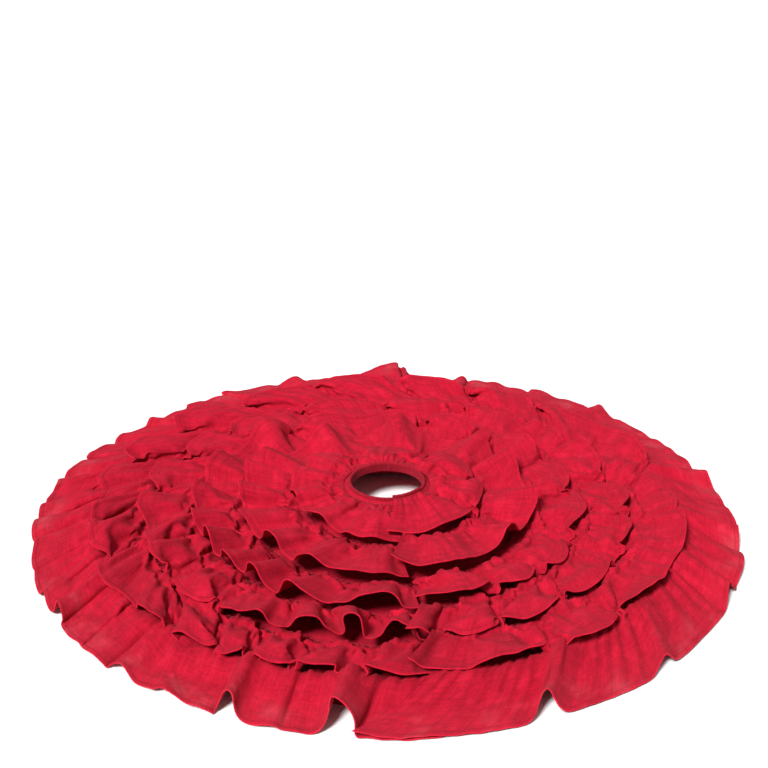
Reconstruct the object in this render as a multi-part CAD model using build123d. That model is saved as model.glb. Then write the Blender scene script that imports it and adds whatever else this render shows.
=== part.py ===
"""A round, six-tier ruffled tree skirt, laid round a trunk, with a slit from its neck to its hem.

The origin is on the floor at the middle of the neck, +Z is up, and the slit runs along -Y.
Every tier is a gathered strip sewn to a thin base cloth, and its hem lies on the gathers of the tier below.
The front panel is the stretch just to the +X side of the slit. It folds back over the rest of the skirt
about a radial fold line, so each strip is cut there into a main node and a front node.
"""

import os

from build123d import *

# Driving dimensions, mm and degrees.
HEM_RADII = (185, 280, 374, 473, 568, 686)  # the hem of each tier, neck to floor
CREST_TOPS = (96, 60, 47, 43, 43, 30)  # how high each tier puffs just outside its gathers
HEM_TOPS = (68, 58, 50, 46, 46, 30)  # how high each hem stands
FIRST_GATHER_R = 85  # where the top tier is sewn on
FIRST_CREST_RUN = 20  # the top tier crests close to the neck
HEM_OVERLAP = 30  # how far each hem lies past the next gather line
GATHER_H, GATHER_W = 8.0, 6.0  # the flattened, stitched edge of a gathered strip
CREST_RUN = 40  # from a gather line out to the crest of the ruffle
SEAT_GAP = 1.0  # under a hem, above the ruffle it lies on

CLOTH = 1.5
BASE_R = 600  # the base cloth ends under the bottom ruffle
CONE_R, CONE_H = 200, 88  # the base lifts off the floor inside CONE_R, over the tree stand
BORE_R = 70  # the trunk opening
BINDING = 6  # thickness of the neck binding
BINDING_H = 18

SLIT = -90  # direction of the slit, degrees from +X
FOLD = 50  # from the slit to the fold line of the front panel
FOLD_GAP = 0.25  # half the angle left free between the two bodies at the fold line
SLIT_GAP = 17  # the panel's edge swings towards the slit as it lifts, so it stands clear by this much

STRIP_T, PATCH_T, CLOSURE_GAP = 1.2, 1.0, 0.3  # the overlapping closure under the slit
STRIP_W = 50
STRIP_INNER_R, STRIP_OUTER_R = 205, 590
PATCH_W, PATCH_L, PATCH_INSET = 25, 50, 4
PATCH_PLACES = (260, 400, 540)  # distance of each patch from the neck's middle

THREAD_T, THREAD_INSET = 1.2, 1.0

# Worked out from them.
NECK_R = BORE_R + BINDING
TIERS = range(len(HEM_RADII))
GATHER_RADII = (FIRST_GATHER_R,) + tuple(r - HEM_OVERLAP for r in HEM_RADII[:-1])
LAST = TIERS[-1]
PANEL_LIFT = STRIP_T + 2 * PATCH_T + CLOSURE_GAP + STRIP_T  # the front panel lies on the closure


def cone(r):
    """Height of the underside of the base cloth at radius r."""
    return CONE_H * max(0.0, CONE_R - r) / (CONE_R - NECK_R)


def gather_top(tier):
    return cone(GATHER_RADII[tier]) + CLOTH + GATHER_H


def top_of(tier, r):
    """Height of a tier's upper side between its gathers and its crest."""
    run = CREST_RUN - GATHER_W
    part = (r - GATHER_RADII[tier] - GATHER_W) / run
    return gather_top(tier) + part * (CREST_TOPS[tier] - gather_top(tier))


def turned(profile, start, end, lift=0.0):
    """A closed outline of (radius, height) turned about Z, from start to end degrees past the slit."""
    points = [(r, 0, z + lift) for r, z in profile]
    face = make_face(Polyline(*points, close=True))
    return Rot(0, 0, SLIT + start) * revolve(face, Axis.Z, end - start)


def base_profile():
    under = [(NECK_R, cone(NECK_R)), (CONE_R, 0.0), (BASE_R, 0.0)]
    return under + [(r, z + CLOTH) for r, z in reversed(under)]


def ruffle_profile(tier, floor_drop=0.0):
    """The space that a gathered tier fills, from the base cloth up. floor_drop takes the bottom tier to the floor."""
    inner, hem = GATHER_RADII[tier], HEM_RADII[tier]
    top = gather_top(tier)
    run = FIRST_CREST_RUN if tier == 0 else CREST_RUN
    under = [(inner, cone(inner) + CLOTH)]
    if tier == LAST:
        under += [(BASE_R, CLOTH), (BASE_R, -floor_drop), (hem, -floor_drop)]
    else:
        wall = GATHER_RADII[tier + 1] - GATHER_W
        if inner < CONE_R < wall:
            under += [(CONE_R, CLOTH)]
        under += [(wall, cone(wall) + CLOTH), (wall, gather_top(tier + 1) + GATHER_H / 2)]
        under += [(hem, top_of(tier + 1, hem) + SEAT_GAP)]
    over = [(hem, HEM_TOPS[tier]), (inner + run, CREST_TOPS[tier]), (inner + GATHER_W, top), (inner, top)]
    return under + over


def thread_profile(tier):
    """Two rows of gathering stitches, as one flat band on the flattened edge of the strip."""
    inner = GATHER_RADII[tier] + THREAD_INSET
    outer = GATHER_RADII[tier] + GATHER_W - THREAD_INSET
    top = gather_top(tier)
    return [(inner, top), (outer, top), (outer, top + THREAD_T), (inner, top + THREAD_T)]


def binding_profile():
    top = cone(NECK_R) + CLOTH + BINDING
    return [(BORE_R, top - BINDING_H), (NECK_R, top - BINDING_H), (NECK_R, top), (BORE_R, top)]


def closure_box(width, length, height, x, y, z):
    """A flat piece of the closure with its lowest near corner at x and its middle at y."""
    corner = (Align.MIN, Align.CENTER, Align.MIN)
    return Pos(x, y, z) * Box(width, length, height, align=corner)


def closure_patches(z):
    """The three patches of one side, which meet the other side's three face to face."""
    x = SLIT_GAP + PATCH_INSET
    return Compound(children=[closure_box(PATCH_W, PATCH_L, PATCH_T, x, -r, z) for r in PATCH_PLACES])


def closure_strip(x, z):
    """A straight strip along the slit, from x out to the far edge of the underlap."""
    middle = -(STRIP_INNER_R + STRIP_OUTER_R) / 2
    return closure_box(STRIP_W - x, STRIP_OUTER_R - STRIP_INNER_R, STRIP_T, x, middle, z)


def main_part(profile):
    return turned(profile, FOLD + FOLD_GAP, 360)


def front_part(profile):
    """A stretch of the front panel, lifted onto the closure and cut off parallel to the slit."""
    stretch = turned(profile, 0, FOLD - FOLD_GAP, PANEL_LIFT)
    return split(stretch, bisect_by=Plane.YZ.offset(SLIT_GAP), keep=Keep.TOP)


nodes = {
    "base_cloth": main_part(base_profile()),
    "neck_binding": main_part(binding_profile()),
    "underlap_strip": closure_strip(0, 0),
    "loop_patches": closure_patches(STRIP_T),
    "front_panel_base": front_part(base_profile()),
    "neck_binding_front": front_part(binding_profile()),
    "front_panel_facing": closure_strip(SLIT_GAP, PANEL_LIFT - STRIP_T),
    "hook_patches": closure_patches(STRIP_T + PATCH_T + CLOSURE_GAP),
}
for tier in TIERS:
    number = tier + 1
    nodes[f"ruffle_{number}"] = main_part(ruffle_profile(tier))
    nodes[f"gather_thread_{number}"] = main_part(thread_profile(tier))
    nodes[f"ruffle_{number}_front"] = front_part(ruffle_profile(tier, PANEL_LIFT))
    nodes[f"gather_thread_{number}_front"] = front_part(thread_profile(tier))

os.makedirs("parts", exist_ok=True)
for name, shape in nodes.items():
    export_step(shape, f"parts/{name}.step")
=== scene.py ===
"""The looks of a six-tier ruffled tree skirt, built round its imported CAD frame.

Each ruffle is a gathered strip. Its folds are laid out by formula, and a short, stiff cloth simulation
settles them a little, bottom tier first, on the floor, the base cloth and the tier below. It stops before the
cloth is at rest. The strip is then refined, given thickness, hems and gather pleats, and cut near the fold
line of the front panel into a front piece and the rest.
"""
import math

import bpy
import numpy as np
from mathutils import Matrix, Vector


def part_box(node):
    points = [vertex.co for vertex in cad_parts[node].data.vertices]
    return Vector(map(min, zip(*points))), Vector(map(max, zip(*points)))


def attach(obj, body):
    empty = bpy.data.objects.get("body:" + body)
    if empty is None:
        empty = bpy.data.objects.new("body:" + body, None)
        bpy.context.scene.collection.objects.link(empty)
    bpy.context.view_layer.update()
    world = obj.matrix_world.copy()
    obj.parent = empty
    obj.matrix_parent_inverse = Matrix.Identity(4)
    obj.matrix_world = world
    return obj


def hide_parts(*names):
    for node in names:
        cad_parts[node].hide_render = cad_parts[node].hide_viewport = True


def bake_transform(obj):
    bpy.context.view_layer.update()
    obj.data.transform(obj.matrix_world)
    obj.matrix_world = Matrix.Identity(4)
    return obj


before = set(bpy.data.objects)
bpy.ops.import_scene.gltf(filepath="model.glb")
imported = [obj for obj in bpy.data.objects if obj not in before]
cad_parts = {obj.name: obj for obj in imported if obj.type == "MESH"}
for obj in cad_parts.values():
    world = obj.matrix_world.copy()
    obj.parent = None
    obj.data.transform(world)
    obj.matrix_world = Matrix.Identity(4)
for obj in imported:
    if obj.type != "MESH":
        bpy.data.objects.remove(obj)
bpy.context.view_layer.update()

MM = 0.001
DEG = math.pi / 180
TIERS = (1, 2, 3, 4, 5, 6)
SLIT = -90 * DEG
FOLD = 50 * DEG  # from the slit to the fold line
BEND = 45 * MM  # half the width of cloth that bends round the fold line

# Sizes read from the frame.
THREAD_EDGE = 5 * MM  # from a gather line to the outer edge of its thread band
HEM = {k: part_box(f"ruffle_{k}")[1][0] for k in TIERS}
CREST = {k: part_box(f"ruffle_{k}")[1][2] for k in TIERS}
GATHER = {k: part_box(f"gather_thread_{k}")[1][0] - THREAD_EDGE for k in TIERS}
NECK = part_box("neck_binding")[1][0]
NECK_LOW, NECK_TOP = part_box("neck_binding")[0][2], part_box("neck_binding")[1][2]
BASE_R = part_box("base_cloth")[1][0]
BASE_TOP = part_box("base_cloth")[1][2]
PANEL_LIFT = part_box("front_panel_base")[0][2]

# Sizes of the CAD part that its boxes don't give.
CLOTH = 1.5 * MM  # thickness of the base cloth
BINDING = 6 * MM  # across the folded neck tape
CONE_R = 200 * MM  # the base cloth lifts off the floor inside this radius
CONE_H = BASE_TOP - CLOTH
SLIT_EDGE = -1.5 * MM  # from the slit to the front panel's cloth, which laps a little over the rest

# How each tier is cut, and how its folds start.
SLACK = {1: 1.22, 2: 1.28, 3: 1.30, 4: 1.32, 5: 1.32, 6: 1.24}  # strip width over the ring it covers
FULLNESS = {1: 1.16, 2: 1.24, 3: 1.32, 4: 1.36, 5: 1.36, 6: 1.25}  # strip length over the hem's circle
HEM_HEIGHT = {1: 80, 2: 71, 3: 62, 4: 57, 5: 54, 6: 4}  # mm above the floor
REACH = {1: 8, 2: 14, 3: 14, 4: 14, 5: 14, 6: 2}  # mm past the hem's radius
REACH_VARIES = 5  # mm
BULGE = {1: 8, 2: 14, 3: 18, 4: 20, 5: 20, 6: 34}  # mm that the strip stands up past its gathers
FOLDS = {1: 9, 2: 14, 3: 18, 4: 21, 5: 23, 6: 34}  # folds round each hem
ARCH = 22 * MM  # half the height of an arch
LOBE = 22 * MM  # half the height of a flat lobe, on the side where the folds lie down
LEAN = 0.45  # phase, in radians, by which a lying fold leans over the next
LYING = (22, 46, 196, 222)  # degrees past the slit: folds start to lie, all lie, start to stand, all stand
HEM_START = {1: -9, 2: -7, 3: -2, 4: -7, 5: -7, 6: -15}  # degrees past the slit where each hem starts
HEM_STOP = {1: 358, 2: 358.5, 3: 359.5, 4: 359, 5: 359, 6: 356}  # and where it stops, below its start
END_LIFT = {1: 18, 2: 28, 3: 28, 4: 28, 5: 28, 6: 28}  # mm that the front end stands over the other
END_RUN = 70 * MM  # how far from the front end the lift has mostly faded
# The bottom tier lies in broad lobes between narrow flutes: where each flute stands, and how strongly.
FLUTES = (
    (12, 1.0), (33, 0.5), (55, 0.7), (74, 0.9), (93, 0.7), (124, 0.5), (155, 0.5), (188, 0.5),
    (221, 0.5), (251, 0.8), (271, 0.6), (291, 0.8), (310, 0.6), (328, 1.1), (343, 1.5),
)
FLUTE_W = 23 * MM  # half the width of a flute
FLUTE_H = 52 * MM
# Beside the slit its pleats are flatter: degrees where that is full, where it ends, and how long it fades.
SMOOTH = (8, 66, 16)
# The flat size of each strip.
WIDTH = {k: (HEM[k] - GATHER[k]) * SLACK[k] for k in TIERS}
LENGTH = {k: math.tau * HEM[k] * FULLNESS[k] for k in TIERS}

SIM_MESH = 10 * MM
SIM_FRAMES = 9  # stopped early, because a longer fall lets the arches sag
SWELL_ROOM = 8 * MM  # from the top of the form under a tier to the tier's crest

# The finished cloth. Its gather pleats are too fine for the simulated mesh.
REFINE = 2
THICK, HEM_THICK, HEM_WIDTH = 1.0 * MM, 2.6 * MM, 9 * MM
TAPE = 1.0 * MM  # thickness of the neck tape
FINE_STEP, FINE_RUN, FINE_H = 21 * MM, 42 * MM, 2.0 * MM  # small pleats: spacing, reach and height
BROAD_STEP, BROAD_RISE = 53 * MM, 30 * MM  # broad pleats: spacing, and how far out they are at their height
BROAD_H = {1: 2.8, 2: 2.8, 3: 2.8, 4: 2.8, 5: 2.8, 6: 3.6}  # mm


# ---------------------------------------------------------------- shared helpers
def smooth_step(x):
    x = np.clip(x, 0, 1)
    return x * x * (3 - 2 * x)


def lift(alpha):
    """How far the front panel stands above the floor on its closure, at an angle past the slit."""
    inside = smooth_step((FOLD + 8 * DEG - alpha) / (16 * DEG))
    return PANEL_LIFT * inside


def cone(r):
    return CONE_H * np.maximum(0, CONE_R - r) / (CONE_R - NECK)


def grid_faces(rows, cols, wrap=False):
    """Quads of a grid whose rows run one after another. With wrap, the last row joins the first."""
    i, j = np.meshgrid(np.arange(rows if wrap else rows - 1), np.arange(cols - 1), indexing="ij")
    near, far = i * cols + j, ((i + 1) % rows) * cols + j
    return np.stack([near, far, far + 1, near + 1], axis=-1).reshape(-1, 4)


def new_object(name, points, faces, uv=None, normals=None, material=None):
    """A smooth mesh object of quads. uv and normals have one row for each point."""
    points = np.asarray(points, float).reshape(-1, 3)
    faces = np.asarray(faces, int)
    mesh = bpy.data.meshes.new(name)
    mesh.vertices.add(len(points))
    mesh.vertices.foreach_set("co", points.ravel())
    mesh.loops.add(faces.size)
    mesh.loops.foreach_set("vertex_index", faces.ravel())
    mesh.polygons.add(len(faces))
    mesh.polygons.foreach_set("loop_start", np.arange(0, faces.size, faces.shape[1]))
    mesh.update(calc_edges=True)
    mesh.polygons.foreach_set("use_smooth", np.ones(len(faces), bool))
    if uv is not None:
        layer = mesh.uv_layers.new(name="cloth")
        layer.data.foreach_set("uv", np.asarray(uv, float).reshape(-1, 2)[faces.ravel()].ravel())
    if normals is not None:
        mesh.normals_split_custom_set_from_vertices([tuple(n) for n in np.asarray(normals).reshape(-1, 3)])
    mesh.validate()
    made = bpy.data.objects.new(name, mesh)
    bpy.context.scene.collection.objects.link(made)
    if material:
        mesh.materials.append(material)
    return made


def finer(points, factor, axis):
    """Catmull-Rom points between the given ones along one axis."""
    p = np.moveaxis(points, axis, 0)
    ends = np.concatenate([[2 * p[0] - p[1]], p, [2 * p[-1] - p[-2]]])
    a, b, c, d = ends[:-3], ends[1:-2], ends[2:-1], ends[3:]
    parts = []
    for t in np.arange(factor) / factor:
        curve = 2 * b + (c - a) * t + (2 * a - 5 * b + 4 * c - d) * t**2 + (3 * b - 3 * c + d - a) * t**3
        parts.append(0.5 * curve)
    dense = np.stack(parts, axis=1).reshape((-1,) + p.shape[1:])
    return np.moveaxis(np.concatenate([dense, p[-1:]]), 0, axis)


def grid_normals(points):
    """Normals of a grid of rows by columns. They point up on a strip whose columns run round the ring."""
    along = np.gradient(points, axis=1)
    across = np.gradient(points, axis=0)
    n = np.cross(across, along)
    return n / np.maximum(np.linalg.norm(n, axis=-1, keepdims=True), 1e-9)


# ---------------------------------------------------------------- camera, floor, light
def make_camera():
    distance, rise, turn = 3.0, 30 * DEG, -10 * DEG
    level = math.cos(rise)
    place = Vector((math.sin(turn) * level, -math.cos(turn) * level, math.sin(rise))) * distance
    pitch, heading = 24.75 * DEG, turn + 0.12 * DEG
    level = math.cos(pitch)
    look = Vector((-math.sin(heading) * level, math.cos(heading) * level, -math.sin(pitch)))
    data = bpy.data.cameras.new("camera")
    data.lens, data.sensor_width = 70.3, 36
    camera = bpy.data.objects.new("camera", data)
    camera.location = place
    camera.rotation_euler = look.to_track_quat("-Z", "Y").to_euler()
    bpy.context.scene.collection.objects.link(camera)
    bpy.context.scene.camera = camera


def plain_material(name, colour, roughness):
    material = bpy.data.materials.new(name)
    material.use_nodes = True
    shader = material.node_tree.nodes["Principled BSDF"]
    shader.inputs["Base Color"].default_value = (*colour, 1)
    shader.inputs["Roughness"].default_value = roughness
    return material


def make_studio():
    half = 6.0
    corners = [(-half, -half, 0), (half, -half, 0), (half, half, 0), (-half, half, 0)]
    paint = plain_material("floor_paint", (0.9, 0.9, 0.9), 0.7)
    ground = new_object("floor", corners, [(0, 1, 2, 3)], material=paint)
    world = bpy.data.worlds.new("studio")
    world.use_nodes = True
    sky = world.node_tree.nodes["Background"]
    sky.inputs[0].default_value = (1, 1, 1, 1)
    sky.inputs[1].default_value = 0.40
    bpy.context.scene.world = world
    data = bpy.data.lights.new("key", "SUN")
    data.energy, data.angle = 5.0, 12 * DEG
    lamp = bpy.data.objects.new("key", data)
    lamp.rotation_euler = Vector((0.6, 0.9, -1.1)).to_track_quat("-Z", "Y").to_euler()
    bpy.context.scene.collection.objects.link(lamp)
    bpy.context.scene.view_settings.view_transform = "Standard"
    return ground


# ---------------------------------------------------------------- ruffles: the folds as laid out
def fold_plan(tier):
    """Where the arches of a hem stand, past the slit, and how strongly, with one more beyond each end."""
    rng = np.random.default_rng(40 + tier)
    steps = rng.uniform(0.6, 1.4, FOLDS[tier])
    # They are closer together on one side.
    steps *= 1.15 - 0.4 * smooth_step((np.linspace(0, 1, FOLDS[tier]) - 0.5) / 0.15)
    centres = (np.cumsum(steps) - steps[0] / 2) / steps.sum() * math.tau
    strengths = rng.uniform(0.6, 1.35, FOLDS[tier])
    centres = np.concatenate([[centres[-1] - math.tau], centres, [centres[0] + math.tau]])
    return centres, np.concatenate([strengths[-1:], strengths, strengths[:1]])


def fluted_hem(tier, alpha):
    """The bottom hem, as a function of its folds' scale: height, pull towards the middle, and lean."""
    h = HEM[tier]
    rng = np.random.default_rng(7)
    stand, lean = np.zeros_like(alpha), np.zeros_like(alpha)
    for centre, strength in FLUTES:
        bump = strength * np.exp(-(((alpha - centre * DEG) * h / FLUTE_W) ** 2))
        stand += bump
        lean += bump * rng.uniform(-12, 12) * MM
    # Between the flutes it lies in flat pleats, fewer on the smooth stretch beside the slit.
    centres, strengths = fold_plan(tier)
    phase = math.tau * np.interp(alpha, centres, np.arange(len(centres)))
    start, end, change = (x * DEG for x in SMOOTH)
    flat = 0.85 * smooth_step(alpha / start) * smooth_step((end - alpha) / change)
    size = np.interp(alpha, centres, strengths) * (1 - flat)
    size = size * np.exp(-2 * stand)
    pleat = size * math.tau * h / FOLDS[tier] * np.sin(phase + LEAN)
    height = HEM_HEIGHT[tier] * MM + 6 * MM * size * (1 + np.cos(phase))
    pull = 12 * MM * stand - 4 * MM * size * np.cos(phase)
    return lambda scale: (height + FLUTE_H * stand, pull, lean + scale * pleat)


def arched_hem(tier, alpha):
    """An upper hem, as a function of its folds' scale: height, pull towards the middle, and lean.

    It doubles back between each raised arch and the flat cloth beside it, and where the folds lie down, each
    lobe laps over the next.
    """
    centres, strengths = fold_plan(tier)
    index = np.interp(alpha, centres, np.arange(len(centres)))
    size = np.interp(alpha, centres, strengths)
    phase = math.tau * index
    start, full, fade, end = (x * DEG for x in LYING)
    lying = smooth_step((alpha - start) / (full - start)) * smooth_step((end - alpha) / (end - fade))
    arch = np.tanh(1.6 * np.cos(phase)) / math.tanh(1.6)
    arch = arch * min(1, HEM[tier] / 0.36)
    spacing = math.tau * HEM[tier] / FOLDS[tier]
    height = HEM_HEIGHT[tier] * MM + size * (ARCH * arch * (1 - lying) + LOBE * np.cos(phase) * lying)
    lean = size * spacing * (np.sin(2 * phase) * (1 - lying) + 2.8 * np.sin(phase + LEAN) * lying)
    return lambda scale: (height - 6 * MM * lying, -5 * MM * arch, scale * lean)


def start_shape(tier):
    """The strip laid out in its place: rows of points from the gathers out, with columns round the ring."""
    g, h, w, length = GATHER[tier], HEM[tier], WIDTH[tier], LENGTH[tier]
    rows, cols = int(round(w / SIM_MESH)) + 1, int(round(length / SIM_MESH)) + 1
    alpha = np.linspace(HEM_START[tier], HEM_STOP[tier], cols * 6) * DEG
    waved = (fluted_hem if tier == 6 else arched_hem)(tier, alpha)
    rng = np.random.default_rng(160 + tier)
    uneven = np.interp(alpha, np.linspace(0, math.tau, 26), rng.uniform(-1, 1, 26))
    reach = h + (REACH[tier] + REACH_VARIES * uneven) * MM
    # The front end of the strip lies over the other end.
    from_end = (alpha / DEG - HEM_START[tier]) * h / (END_RUN / DEG)
    end_lift = END_LIFT[tier] * MM * np.exp(-(from_end**2))

    def hem(scale):
        height, pull, lean = waved(scale)
        turn, r = alpha + lean / h, reach - pull
        return np.stack([r * np.cos(turn), r * np.sin(turn), height + end_lift], axis=1)

    # The folds are scaled until the hem is nearly as long as the strip.
    low, high = 0.0, 0.6
    for _ in range(24):
        scale = (low + high) / 2
        run = np.linalg.norm(np.diff(hem(scale), axis=0), axis=1).sum()
        low, high = (scale, high) if run < length * 0.98 else (low, scale)
    run = np.concatenate([[0], np.cumsum(np.linalg.norm(np.diff(hem(scale), axis=0), axis=1))])
    places = np.linspace(0, run[-1], cols)
    height, pull, lean = waved(scale)
    height = height - HEM_HEIGHT[tier] * MM + end_lift
    even = [np.interp(places, run, x) for x in (alpha, reach, height, pull, lean)]
    alpha, reach, height, pull, lean = even
    seam = np.linspace(math.asin(MM / g), math.tau - math.asin(MM / g), cols)
    v = np.linspace(0, 1, rows)[:, None]
    wave = v**0.65  # the folds run well in towards the gathers
    turn = SLIT + seam * (1 - v) + alpha * v + lean / h * wave
    r = g + (reach - g) * v - pull * wave
    z = (cone(g) + CLOTH + 2.5 * MM) * (1 - v) + HEM_HEIGHT[tier] * MM * v + height * wave
    z = z + BULGE[tier] * MM * (v / 0.3) * np.exp(1 - v / 0.3) * (1 - v) + lift(turn - SLIT)
    return np.stack([r * np.cos(turn), r * np.sin(turn), z], axis=2)


def support_form():
    """What the strips settle on: the base cloth, with a swell where each tier's close gathers hold it up."""
    alpha = np.linspace(0, math.tau, 181)
    radii = np.arange(NECK, 660 * MM, 6 * MM)
    height = (cone(radii) + CLOTH)[:, None] + lift(alpha)[None]
    rng = np.random.default_rng(3)
    for k in TIERS:
        end = GATHER[k + 1] - 8 * MM if k < 6 else GATHER[k] + 110 * MM
        middle = (GATHER[k] + end) / 2
        share = np.clip((radii - GATHER[k]) / (end - GATHER[k]), 0, 1)
        swell = np.interp(alpha, np.linspace(0, math.tau, 20), rng.uniform(0.75, 1.1, 20))
        rise = CREST[k] - SWELL_ROOM - cone(middle) - CLOTH
        height = height + rise * (np.sin(math.pi * share**0.7) ** 2)[:, None] * swell[None]
    turn = SLIT + alpha
    form = np.stack([radii[:, None] * np.cos(turn), radii[:, None] * np.sin(turn), height], axis=-1)
    return new_object("support_form", form, grid_faces(*form.shape[:2]))


# ---------------------------------------------------------------- ruffles: the short simulation
def add_collision(obj):
    obj.modifiers.new("collision", "COLLISION")
    obj.collision.thickness_outer = 2 * MM
    obj.collision.thickness_inner = 4 * MM
    obj.collision.cloth_friction = 20
    obj.collision.damping = 0.8
    obj.collision.use_culling = False


def cloth_settings(cloth):
    """A stiff cloth in weak gravity, so that the folds keep the shape that they were given."""
    fabric = cloth.settings
    fabric.quality = 6
    fabric.mass = 0.15
    fabric.tension_stiffness = fabric.compression_stiffness = 40
    fabric.shear_stiffness = 12
    fabric.bending_stiffness = 110
    fabric.tension_damping = fabric.compression_damping = fabric.shear_damping = 10
    fabric.bending_damping = 1
    fabric.air_damping = 3
    fabric.effector_weights.gravity = 0.4
    fabric.vertex_group_mass = "pin"
    contact = cloth.collision_settings
    contact.collision_quality = 2
    contact.distance_min = 2.5 * MM
    contact.use_self_collision = True
    contact.self_distance_min = 3 * MM
    contact.friction = contact.self_friction = 8
    contact.damping = 0.5


def settle(tier):
    """Simulates the strip for a few frames, and returns its rows of points. Its gathered edge is pinned."""
    points = start_shape(tier)
    rows, cols, _ = points.shape
    strip = new_object(f"settling_{tier}", points, grid_faces(rows, cols))
    strip.vertex_groups.new(name="pin").add(list(range(2 * cols)), 1.0, "REPLACE")
    cloth = strip.modifiers.new("cloth", "CLOTH")
    cloth_settings(cloth)
    cloth.point_cache.frame_start, cloth.point_cache.frame_end = 1, SIM_FRAMES
    for step in range(1, SIM_FRAMES + 1):
        bpy.context.scene.frame_set(step)
    settled = strip.evaluated_get(bpy.context.evaluated_depsgraph_get())
    result = np.empty(rows * cols * 3, np.float32)
    settled.data.vertices.foreach_get("co", result)
    bpy.data.objects.remove(strip)
    bpy.context.scene.frame_set(1)
    return result.reshape(rows, cols, 3).astype(float)


# ---------------------------------------------------------------- ruffles: the finished cloth
TOWARDS_SLIT = np.array([math.sin(SLIT + FOLD), -math.cos(SLIT + FOLD), 0])


def past_fold(points):
    """Distance past the fold line, towards the slit."""
    return points @ TOWARDS_SLIT


def finish_cloth(tier, shape):
    """The settled strip, finer and pleated: its points, normals, and how far along and out each point is."""
    points = finer(finer(shape, REFINE, 0), REFINE, 1)
    rows, cols, _ = points.shape
    s = np.linspace(0, LENGTH[tier], cols)[None]
    v = np.linspace(0, WIDTH[tier], rows)[:, None]
    rng = np.random.default_rng(120 + tier)
    drift = np.interp(s[0], np.linspace(0, LENGTH[tier], 60), rng.uniform(-1.2, 1.2, 60))[None]
    vary = np.interp(s[0], np.linspace(0, LENGTH[tier], 150), rng.uniform(0.5, 1.3, 150))[None]
    fine = np.sin(math.tau * s / FINE_STEP + 2 * drift) * np.exp(-((v / FINE_RUN) ** 1.5))
    crease = 1 - 0.75 * v / WIDTH[tier]  # the broad pleats fade towards the hem
    broad = np.sin(math.tau * s / BROAD_STEP + 3 * drift) * crease * smooth_step(v / BROAD_RISE)
    ease = smooth_step(v / (10 * MM)) * 0.65 + 0.35  # both are flatter where they are sewn down
    push = (FINE_H * fine + BROAD_H[tier] * MM * broad) * vary * ease
    points = points + grid_normals(points) * push[..., None]
    points[..., 2] = np.maximum(points[..., 2], HEM_THICK / 2)
    return points, grid_normals(points), np.broadcast_to(s, (rows, cols)), np.broadcast_to(v, (rows, cols))


def shell(name, points, normals, s, v, thick, material, shading=None):
    """A closed sheet of the given thickness round a grid of points, with a rounded far edge."""
    top_normals, under_normals = shading if shading is not None else (normals, normals)
    rows, cols, _ = points.shape
    half = thick[..., None] / 2
    across = points[-1] - points[-2]
    across /= np.maximum(np.linalg.norm(across, axis=-1, keepdims=True), 1e-9)
    rim = half[-1] * 0.9
    upper = points[-1] + across * rim + normals[-1] * half[-1] * 0.6
    lower = points[-1] + across * rim - normals[-1] * half[-1] * 0.6
    top, bottom = points + normals * half, points - normals * half
    loop = np.concatenate([top, upper[None], lower[None], bottom[::-1]])
    out = across + 0.6 * normals[-1]
    under = across - 0.6 * normals[-1]
    loop_normals = np.concatenate([top_normals, out[None], under[None], -under_normals[::-1]])
    loop_s = np.concatenate([s, s[-1:], s[-1:], s[::-1]])
    loop_v = np.concatenate([v, v[-1:], v[-1:], v[::-1]])
    count = len(loop)
    faces = grid_faces(count, cols, wrap=True)
    ring = np.arange(rows)
    caps = []
    for j, flip in ((0, -1), (cols - 1, 1)):
        above, below = ring * cols + j, (count - 1 - ring) * cols + j
        quads = np.stack([above[:-1], above[1:], below[1:], below[:-1]], axis=1)
        far = [[above[-1], rows * cols + j, (rows + 1) * cols + j, below[-1]]]
        caps.append(np.concatenate([quads, far])[:, ::flip])
    faces = np.concatenate([faces] + caps)
    return new_object(name, loop, faces, np.stack([loop_s, loop_v], axis=-1), loop_normals, material)


def stitches(name, rows_of_points, rows_of_normals, step, material):
    """Short raised threads that run along each given row of points, one every step points."""
    points, faces = [], []
    for line, up in zip(rows_of_points, rows_of_normals):
        a, b = line[:-1:step], line[1::step]
        n = up[:-1:step]
        count = min(len(a), len(b))
        a, b, n = a[:count], b[:count], n[:count]
        side = np.cross(b - a, n)
        side /= np.maximum(np.linalg.norm(side, axis=1, keepdims=True), 1e-9)
        # Each stitch is a small diamond at both ends and a wider, raised one in its middle.
        for share, wide, high in ((0.0, 0.15, 0.0), (0.5, 0.45, 0.9), (1.0, 0.15, 0.0)):
            middle = a + (b - a) * share + n * (0.7 + high) * MM
            for x, z in ((1, 0), (0, 1), (-1, 0), (0, -1)):
                points.append(middle + side * x * wide * MM + n * z * 0.4 * MM)
        base = sum(len(p) for p in points) - 12 * count
        i = np.arange(count)
        for ring in range(2):
            for corner in range(4):
                near = base + (ring * 4 + corner) * count + i
                step_round = base + (ring * 4 + (corner + 1) % 4) * count + i
                faces.append(np.stack([near, near + 4 * count, step_round + 4 * count, step_round], axis=1))
        for ring, order in ((0, (0, 1, 2, 3)), (2, (3, 2, 1, 0))):
            faces.append(np.stack([base + (ring * 4 + corner) * count + i for corner in order], axis=1))
    return new_object(name, np.concatenate(points), np.concatenate(faces), material=material)


def bend(piece):
    """Bakes the piece's transform into its mesh."""
    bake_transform(piece)


def cut_column(points, cols):
    """The first column, from the slit, that lies wholly on the skirt's side of the bend."""
    clear = (past_fold(points) < -BEND - 2 * MM).all(axis=0)
    after = np.nonzero(clear)[0]
    return int(after[after > cols * FOLD / math.tau][0])


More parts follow.
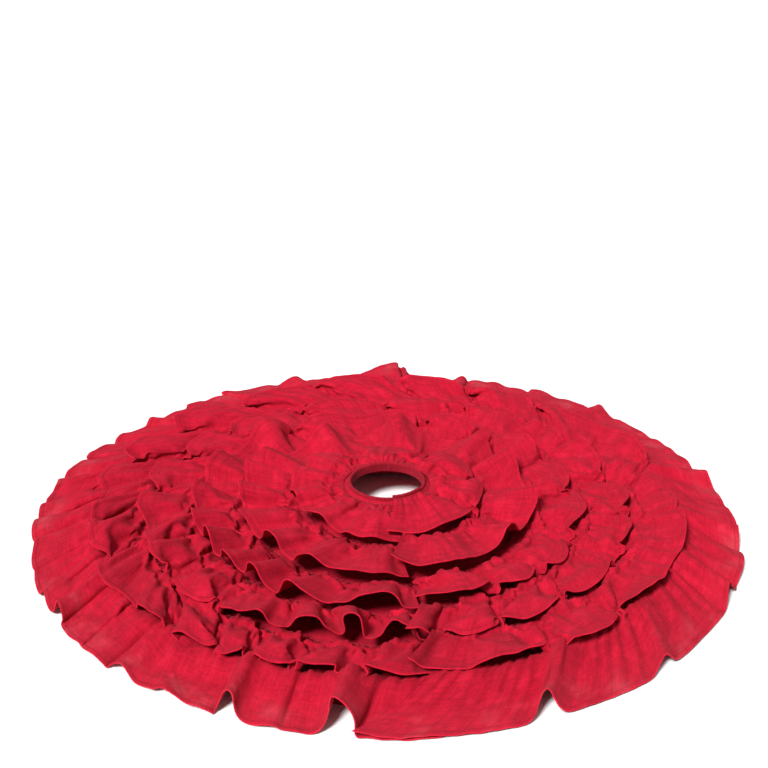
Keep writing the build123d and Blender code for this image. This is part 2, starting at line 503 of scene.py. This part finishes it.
def make_ruffle(tier, shape, cloth_material, thread_material):
    """Both parts of one tier's cloth, with its gathering stitches."""
    points, normals, s, v = finish_cloth(tier, shape)
    cols = points.shape[1]
    to_edge = np.minimum(np.minimum(s, LENGTH[tier] - s), WIDTH[tier] - v)
    thick = np.where(to_edge < HEM_WIDTH, HEM_THICK, THICK)
    half = normals * thick[..., None] / 2
    shading = np.stack([grid_normals(points + half), grid_normals(points - half)])
    cut = cut_column(points, cols)
    from_hem = WIDTH[tier] - v
    for suffix, part in (("_front", slice(0, cut + 1)), ("", slice(cut, cols))):
        name = f"ruffle_cloth_{tier}{suffix}"
        grids = [grid[:, part] for grid in (points, normals, s, from_hem, thick)]
        piece = shell(name, *grids, cloth_material, shading[:, :, part])
        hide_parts(f"ruffle_{tier}{suffix}")
        lines, ups = points[1:3, part] + half[1:3, part], normals[1:3, part]
        thread = stitches(f"gather_stitches_{tier}{suffix}", lines, ups, 2, thread_material)
        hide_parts(f"gather_thread_{tier}{suffix}")
        for each in (piece, thread):
            place(each, suffix)


def place(piece, suffix):
    """Front pieces have their transform baked in, and the others ride on the skirt."""
    if suffix:
        bend(piece)
    else:
        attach(piece, "skirt")


# ---------------------------------------------------------------- base cloth and neck binding
def ring_grid(radii, heights, start, stop, step=2 * DEG):
    """Points of a profile turned about Z between two angles past the slit, lifted with the front panel."""
    count = max(2, int(round((stop - start) / step)) + 1)
    alpha = np.linspace(start, stop, count)[None]
    r, z = np.asarray(radii)[:, None], np.asarray(heights)[:, None]
    turn = SLIT + alpha
    return np.stack([r * np.cos(turn), r * np.sin(turn), z + lift(alpha)], axis=-1), alpha


def ring_uv(points, around_r):
    """Distance round the ring, at a given radius, and distance along the profile."""
    rows, cols, _ = points.shape
    out = np.concatenate([[0], np.cumsum(np.linalg.norm(np.diff(points[:, 0], axis=0), axis=1))])
    turn = np.unwrap(np.arctan2(points[0, :, 1], points[0, :, 0]))
    along = np.broadcast_to((turn * around_r)[None], (rows, cols))
    return along, np.broadcast_to(out[:, None], (rows, cols))


def fold_cut(r):
    """The angle past the slit at which a ring of radius r is clear of the bend."""
    return FOLD + math.asin(min(1, (BEND + 3 * MM) / r))


def make_base(cloth_material):
    radii = np.concatenate([np.linspace(NECK, CONE_R, 26), np.linspace(CONE_R, BASE_R, 60)[1:]])
    heights = cone(radii) + CLOTH / 2
    # A soft bend where the cone meets the floor.
    heights += 1.6 * MM * np.exp(-((radii - CONE_R) / (16 * MM)) ** 2)
    cut = fold_cut(NECK)
    edge = math.asin(SLIT_EDGE / NECK)
    for suffix, start, stop in (("_front", edge, cut), ("", cut, math.tau)):
        points, alpha = ring_grid(radii, heights, start, stop)
        if suffix:
            # The slit edge runs straight out beside the slit, not along a radius.
            lean = np.arcsin(SLIT_EDGE / radii)[:, None]
            turn = SLIT + lean + (alpha - start) / (stop - start) * (stop - lean)
            points[..., 0], points[..., 1] = radii[:, None] * np.cos(turn), radii[:, None] * np.sin(turn)
        s, v = ring_uv(points, 300 * MM)
        thick = np.full(s.shape, CLOTH)
        piece = shell(f"base_sheet{suffix}", points, grid_normals(points), s, v, thick, cloth_material)
        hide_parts("front_panel_base" if suffix else "base_cloth")
        place(piece, suffix)


def make_binding(tape_material, thread_material):
    """A tape folded over the neck edge, puckered a little by its stitching."""
    half_gap, top = BINDING / 2 - TAPE / 2, NECK_TOP - TAPE / 2
    middle = NECK - BINDING / 2
    legs = np.linspace(NECK_LOW, top - half_gap, 7)
    arc = np.linspace(0, math.pi, 9)[1:-1]
    radii = np.concatenate([np.full(7, -half_gap), -half_gap * np.cos(arc), np.full(7, half_gap)]) + middle
    heights = np.concatenate([legs, top - half_gap + half_gap * np.sin(arc), legs[::-1]])
    cut = fold_cut(NECK)
    for suffix, start, stop in (("_front", math.asin(SLIT_EDGE / NECK), cut), ("", cut, math.tau)):
        points, alpha = ring_grid(radii, heights, start, stop, 1.25 * DEG)
        pucker = 0.35 * MM * np.sin(alpha * 61) * np.sin(alpha * 17 + 1)
        normals = grid_normals(points)
        points = points + normals * pucker[..., None]
        s, v = ring_uv(points, NECK)
        thick = np.full(s.shape, TAPE)
        piece = shell(f"neck_tape{suffix}", points, grid_normals(points), s, v, thick, tape_material)
        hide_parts(f"neck_binding{suffix}")
        place(piece, suffix)
        line = points[-3:-2] + normals[-3:-2] * TAPE / 2
        thread = stitches(f"neck_stitches{suffix}", line, normals[-3:-2], 2, thread_material)
        place(thread, suffix)


# ---------------------------------------------------------------- closure at the slit
PATCH_L = 50 * MM
PATCH_CORNER = 3 * MM
PIN_EDGE = 2 * MM  # from the edge of a patch to its first hooks or loops
PIN_STEPS = (1.5 * MM, 1.9 * MM)  # between hooks or loops, across and along the slit


def flat_strip(name, low, high, material, node, suffix, stitch_material):
    """A straight strip of tape with a line of stitches near each long edge."""
    across, along = 9, 60
    x, y = np.linspace(low[0], high[0], across), np.linspace(low[1], high[1], along)
    thick = high[2] - low[2]
    v, s = np.meshgrid(x, y, indexing="ij")
    grid = np.stack([v, s, np.full(s.shape, (low[2] + high[2]) / 2)], axis=-1)
    piece = shell(name, grid, grid_normals(grid), s, v, np.full(s.shape, thick), material)
    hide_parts(node)
    place(piece, suffix)
    line = finer(grid[1 :: across - 3], 3, 1) + np.array([0, 0, thick / 2])  # the second row from each edge
    up = np.broadcast_to([0, 0, 1.0], line.shape)
    thread = stitches(f"{name}_stitches", line, up, 2, stitch_material)
    place(thread, suffix)


def make_patches(node, name, suffix, material, pin):
    """The three rounded patches of a closure node, with small loops or hooks on the side that mates."""
    low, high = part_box(node)
    length = PATCH_L
    middles = [high[1] - length / 2 - i * (high[1] - low[1] - length) / 2 for i in range(3)]
    points, faces = [], []
    facing = -1 if suffix else 1
    backing = (high[2] - low[2]) * 0.55
    z_back, z_front = (low[2], low[2] + backing) if facing > 0 else (high[2], high[2] - backing)
    corner = PATCH_CORNER
    outline = []
    half_w, half_l = (high[0] - low[0]) / 2, length / 2
    for quarter in range(4):
        cx = (half_w - corner) * (1, -1, -1, 1)[quarter]
        cy = (half_l - corner) * (1, 1, -1, -1)[quarter]
        for t in np.linspace(0, math.pi / 2, 5):
            turn = t + quarter * math.pi / 2
            outline.append((cx + corner * math.cos(turn), cy + corner * math.sin(turn)))
    outline = np.array(outline)
    mesh = bpy.data.meshes.new(name)
    count = 0
    for middle in middles:
        centre = np.array([(low[0] + high[0]) / 2, middle])
        n = len(outline)
        rings = ((1.0, z_back), (1.0, z_front), (0.96, z_front))
        layers = [np.column_stack([centre + outline * scale, np.full(n, z)]) for scale, z in rings]
        points.append(np.concatenate(layers))
        for ring in range(2):
            for i in range(n):
                j = (i + 1) % n
                quad = (i, j, j + n, i + n)
                faces.append([count + ring * n + q for q in (quad if facing > 0 else quad[::-1])])
        back, front = list(range(n)), list(range(2 * n, 3 * n))
        faces.append([count + q for q in (back[::-1] if facing > 0 else back)])
        faces.append([count + q for q in (front if facing > 0 else front[::-1])])
        count += 3 * n
        for x in np.arange(PIN_EDGE - half_w, half_w - 1.5 * MM, PIN_STEPS[0]):
            for y in np.arange(PIN_EDGE - half_l, half_l - 1.5 * MM, PIN_STEPS[1]):
                root = np.array([centre[0] + x, centre[1] + y, z_front])
                tuft, quads = pin(root, facing, (high[2] - low[2]) * 0.43)
                points.append(tuft)
                faces.extend([[count + q for q in quad] for quad in quads])
                count += len(tuft)
    mesh.from_pydata(np.concatenate(points).tolist(), [], faces)
    mesh.update()
    piece = bpy.data.objects.new(name, mesh)
    bpy.context.scene.collection.objects.link(piece)
    mesh.materials.append(material)
    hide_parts(node)
    place(piece, suffix)


def pin_tube(path, width):
    """A thin square tube along a few points."""
    rings = []
    for point in path:
        rings.append(point + np.array([[1, 0, 0], [0, 1, 0], [-1, 0, 0], [0, -1, 0]]) * width)
    quads = [[0, 3, 2, 1]]
    for ring in range(len(path) - 1):
        for i in range(4):
            j = (i + 1) % 4
            quads.append([ring * 4 + i, ring * 4 + j, ring * 4 + 4 + j, ring * 4 + 4 + i])
    last = (len(path) - 1) * 4
    quads.append([last, last + 1, last + 2, last + 3])
    return np.concatenate(rings), quads


def hook_pin(root, facing, height):
    """One hook, which bends over at its tip."""
    up = np.array([0, 0, facing * height])
    aside = np.array([0, 0.5 * MM, 0])
    path = [root, root + up * 0.7, root + up + aside * 0.6, root + up * 0.8 + aside * 1.3]
    return pin_tube(path, 0.18 * MM)


def loop_pin(root, facing, height):
    """One loop, which comes back down to the backing."""
    up = np.array([0, 0, facing * height])
    aside = np.array([0.25 * MM, 0.5 * MM, 0])
    path = [root - aside, root + up * 0.8 - aside, root + up + aside, root + aside * 1.6]
    return pin_tube(path, 0.14 * MM)


def make_closure(cloth_material, hook_material, loop_material, thread_material):
    strips = (
        ("underlap_tape", "underlap_strip", ""),
        ("facing_tape", "front_panel_facing", "_front"),
    )
    for name, node, suffix in strips:
        low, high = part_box(node)
        flat_strip(name, low, high, cloth_material, node, suffix, thread_material)
    make_patches("loop_patches", "loop_pads", "", loop_material, loop_pin)
    make_patches("hook_patches", "hook_pads", "_front", hook_material, hook_pin)


# ---------------------------------------------------------------- materials
class Shading:
    """A Principled material whose node graph is built with short calls."""

    def __init__(self, name, roughness, sheen=0.0):
        self.material = bpy.data.materials.new(name)
        self.material.use_nodes = True
        self.tree = self.material.node_tree
        self.shader = self.tree.nodes["Principled BSDF"]
        self.shader.inputs["Roughness"].default_value = roughness
        self.shader.inputs["Sheen Weight"].default_value = sheen
        self.shader.inputs["Sheen Roughness"].default_value = 0.5
        self.shader.inputs["Specular IOR Level"].default_value = 0.15

    def add(self, kind, sockets=None, **settings):
        node = self.tree.nodes.new("ShaderNode" + kind)
        for key, value in settings.items():
            setattr(node, key, value)
        for key, value in (sockets or {}).items():
            self.put(value, node.inputs[key])
        return node

    def put(self, value, socket):
        if isinstance(value, bpy.types.NodeSocket):
            self.tree.links.new(value, socket)
        else:
            socket.default_value = value

    def math(self, operation, *values):
        return self.add("Math", dict(enumerate(values)), operation=operation).outputs[0]

    def times(self, a, b):
        return self.math("MULTIPLY", a, b)

    def plus(self, a, b):
        return self.math("ADD", a, b)

    def noise(self, vector, scale, detail=2.0):
        return self.add("TexNoise", {"Vector": vector, "Scale": scale, "Detail": detail}).outputs["Fac"]

    def vector(self, x, y, z):
        return self.add("CombineXYZ", {0: x, 1: y, 2: z}).outputs[0]

    def mix(self, share, a, b):
        node = self.add("Mix", data_type="FLOAT")
        for socket, value in ((0, share), (2, a), (3, b)):
            self.put(value, node.inputs[socket])
        return node.outputs[0]

    def blend_colours(self, share, a, b, how="MIX"):
        node = self.add("Mix", data_type="RGBA", blend_type=how)
        for socket, value in ((0, share), (6, a), (7, b)):
            self.put(value, node.inputs[socket])
        return node.outputs[2]

    def bump(self, height, strength, distance):
        node = self.add("Bump", {"Height": height, "Strength": strength, "Distance": distance})
        self.tree.links.new(node.outputs[0], self.shader.inputs["Normal"])


def woven(name, dark, mid, light, pitch, roughness=0.9, sheen=0.12, uneven=1.0, hem=0.0, rim=0.0):
    """Plain weave with thick and thin yarns, by its UVs: metres along the cloth, and metres from its hem.

    uneven is how far the yarns wander, hem is how far in the hem is sewn, and rim is how far in lighter
    patches are painted as floor light seen through the open weave. A hem or rim of 0 leaves it out.
    """
    g = Shading(name, roughness, sheen)
    g.shader.inputs["Sheen Tint"].default_value = (0.85, 0.08, 0.12, 1)
    uv = g.add("UVMap", uv_map="cloth").outputs[0]
    split = g.add("SeparateXYZ", {0: uv})
    u, v = split.outputs[0], split.outputs[1]
    wander = g.noise(uv, 60.0, 1.0)
    warp_place = g.plus(g.math("DIVIDE", u, pitch), g.times(wander, 1.4 * uneven))
    weft_place = g.plus(g.math("DIVIDE", v, pitch), g.times(wander, -1.2 * uneven))
    warp_no, weft_no = g.math("FLOOR", warp_place), g.math("FLOOR", weft_place)
    warp_round = g.math("ABSOLUTE", g.math("SINE", g.times(warp_place, math.pi)))
    weft_round = g.math("ABSOLUTE", g.math("SINE", g.times(weft_place, math.pi)))
    warp_slub = g.noise(g.vector(g.times(warp_no, 3.7), g.times(weft_place, 0.1), 2.0), 1.0)
    weft_slub = g.noise(g.vector(g.times(warp_place, 0.1), g.times(weft_no, 3.7), 7.0), 1.0)
    warp = g.times(warp_round, g.plus(g.times(warp_slub, 0.9), 0.45))
    weft = g.times(weft_round, g.plus(g.times(weft_slub, 0.9), 0.45))
    over = g.math("FLOORED_MODULO", g.plus(warp_no, weft_no), 2.0)
    warp_top = g.times(warp, g.plus(g.times(weft_round, 0.4), 0.6))
    weft_top = g.times(weft, g.plus(g.times(warp_round, 0.4), 0.6))
    height = g.mix(over, warp_top, weft_top)
    fibre = g.noise(uv, 2600.0, 2.0)
    height = g.plus(height, g.times(fibre, 0.25))
    # The ramp paints shade into the low gaps between the yarns and light onto their raised tops.
    ramp = g.add("ValToRGB", {0: height})
    ramp.color_ramp.elements[0].position, ramp.color_ramp.elements[0].color = 0.12, (*dark, 1)
    ramp.color_ramp.elements[1].position, ramp.color_ramp.elements[1].color = 1.0, (*light, 1)
    middle = ramp.color_ramp.elements.new(0.5)
    middle.color = (*mid, 1)
    colour = ramp.outputs[0]
    # Whole areas are a little lighter or darker, and so are bundles of yarns.
    patchy = g.noise(uv, 22.0, 3.0)
    along = g.noise(g.vector(g.times(u, 16.0), g.times(v, 190.0), 1.0), 1.0)
    across = g.noise(g.vector(g.times(u, 190.0), g.times(v, 16.0), 4.0), 1.0)
    yarn = g.mix(over, warp_slub, weft_slub)
    tone = g.plus(g.times(patchy, 0.45), g.times(yarn, 0.5))
    tone = g.plus(tone, g.times(g.plus(along, across), 0.6))
    tone = g.math("SUBTRACT", tone, 0.1)
    grey = g.add("CombineColor", {0: tone, 1: tone, 2: tone}).outputs[0]
    colour = g.blend_colours(1.0, colour, grey, "MULTIPLY")
    worn = g.add("MapRange", {0: g.noise(uv, 34.0, 4.0), 1: 0.5, 2: 0.72, 3: 0.0, 4: 0.3}).outputs[0]
    colour = g.blend_colours(worn, colour, (light[0] * 1.2, light[1] * 1.8, light[2] * 1.4, 1))
    if rim:
        # Painted light: lighter patches near the hem stand in for the floor's light seen through the open
        # weave.
        fade = {0: v, 1: 8 * MM, 2: rim, 3: 1.0, 4: 0.0}
        near = g.add("MapRange", fade, interpolation_type="SMOOTHSTEP").outputs[0]
        patch = g.add("MapRange", {0: g.noise(uv, 16.0, 4.0), 1: 0.5, 2: 0.72, 3: 0.12, 4: 1.0}).outputs[0]
        open_weave = g.add("MapRange", {0: height, 1: 0.35, 2: 0.1, 3: 0.0, 4: 1.0}).outputs[0]
        painted_floor_light = g.plus(g.times(open_weave, 0.6), 0.06)
        share = g.times(g.times(near, patch), painted_floor_light)
        colour = g.blend_colours(share, colour, (0.80, 0.30, 0.33, 1))
    if hem:
        off = g.math("ABSOLUTE", g.math("SUBTRACT", v, hem))
        fade = {0: off, 1: 0.4 * MM, 2: 1.4 * MM, 3: 1.0, 4: 0.0}
        seam = g.add("MapRange", fade, interpolation_type="SMOOTHSTEP").outputs[0]
        dash = g.math("LESS_THAN", g.math("FRACT", g.math("DIVIDE", u, 5 * MM)), 0.62)
        thread = g.times(g.math("LESS_THAN", off, 0.45 * MM), dash)
        # Painted shade darkens the cloth along the hem's sewn groove, which the bump also sinks.
        colour = g.blend_colours(g.times(seam, 0.55), colour, (*dark, 1))
        colour = g.blend_colours(thread, colour, (*light, 1))
        height = g.math("SUBTRACT", height, g.times(seam, 1.6))
        height = g.plus(height, g.times(thread, 2.0))
    g.tree.links.new(colour, g.shader.inputs["Base Color"])
    g.bump(height, 0.7, 0.5 * MM)
    return g.material


def spun_thread(name, colour):
    """Shiny two-ply thread."""
    g = Shading(name, 0.5, 0.2)
    where = g.add("TexCoord").outputs["Object"]
    ply = g.add("TexWave", {"Vector": where, "Scale": 900.0, "Distortion": 1.0}, wave_type="BANDS",
                bands_direction="DIAGONAL").outputs["Fac"]
    # Painted shade darkens the grooves between the plies.
    shade = g.blend_colours(ply, (*[c * 0.55 for c in colour], 1), (*colour, 1))
    g.tree.links.new(shade, g.shader.inputs["Base Color"])
    g.bump(ply, 0.4, 0.1 * MM)
    return g.material


def closure_tape(name, colour, scale):
    """Nylon backing with a fine grain."""
    g = Shading(name, 0.55, 0.15)
    where = g.add("TexCoord").outputs["Object"]
    grain = g.noise(where, scale, 3.0)
    shade = g.blend_colours(grain, (*[c * 0.5 for c in colour], 1), (*[min(1, c * 1.3) for c in colour], 1))
    g.tree.links.new(shade, g.shader.inputs["Base Color"])
    g.bump(grain, 0.5, 0.2 * MM)
    return g.material


# ---------------------------------------------------------------- the whole skirt
def main():
    make_camera()
    ground = make_studio()
    add_collision(ground)
    # Weave ramp colours: dark is painted shade in the gaps between yarns, light is painted light on their
    # tops.
    dark, mid, light = (0.12, 0.0003, 0.006), (0.38, 0.0018, 0.018), (0.62, 0.009, 0.035)
    cloth = woven("ruffle_burlap", dark, mid, light, 1.4 * MM, hem=8.5 * MM)
    # The bottom tier's cloth has painted floor light in patches near its hem.
    cloth_with_painted_floor_light = woven("floor_ruffle_burlap_with_painted_floor_light", dark, mid, light, 1.4 * MM, hem=8.5 * MM, rim=90 * MM)
    base_cloth = woven("base_weave", dark, mid, light, 1.1 * MM, uneven=0.6)
    tape = woven(
        "binding_weave", (0.12, 0.001, 0.006), (0.28, 0.003, 0.013), (0.4, 0.007, 0.025), 0.6 * MM,
        roughness=0.8, sheen=0.2, uneven=0.3,
    )
    thread = spun_thread("red_thread", (0.45, 0.006, 0.022))
    hooks = closure_tape("hook_nylon", (0.30, 0.006, 0.02), 900.0)
    loops = closure_tape("loop_nylon", (0.38, 0.008, 0.028), 2500.0)

    make_base(base_cloth)
    make_binding(tape, thread)
    make_closure(base_cloth, hooks, loops, thread)

    helpers = [support_form()]
    add_collision(helpers[0])
    for tier in reversed(TIERS):
        shape = settle(tier)
        make_ruffle(tier, shape, cloth_with_painted_floor_light if tier == 6 else cloth, thread)
        helper = new_object(f"settled_{tier}", shape, grid_faces(*shape.shape[:2]))
        add_collision(helper)
        helpers.append(helper)
    for helper in helpers:
        bpy.data.objects.remove(helper)
    ground.modifiers.clear()


main()
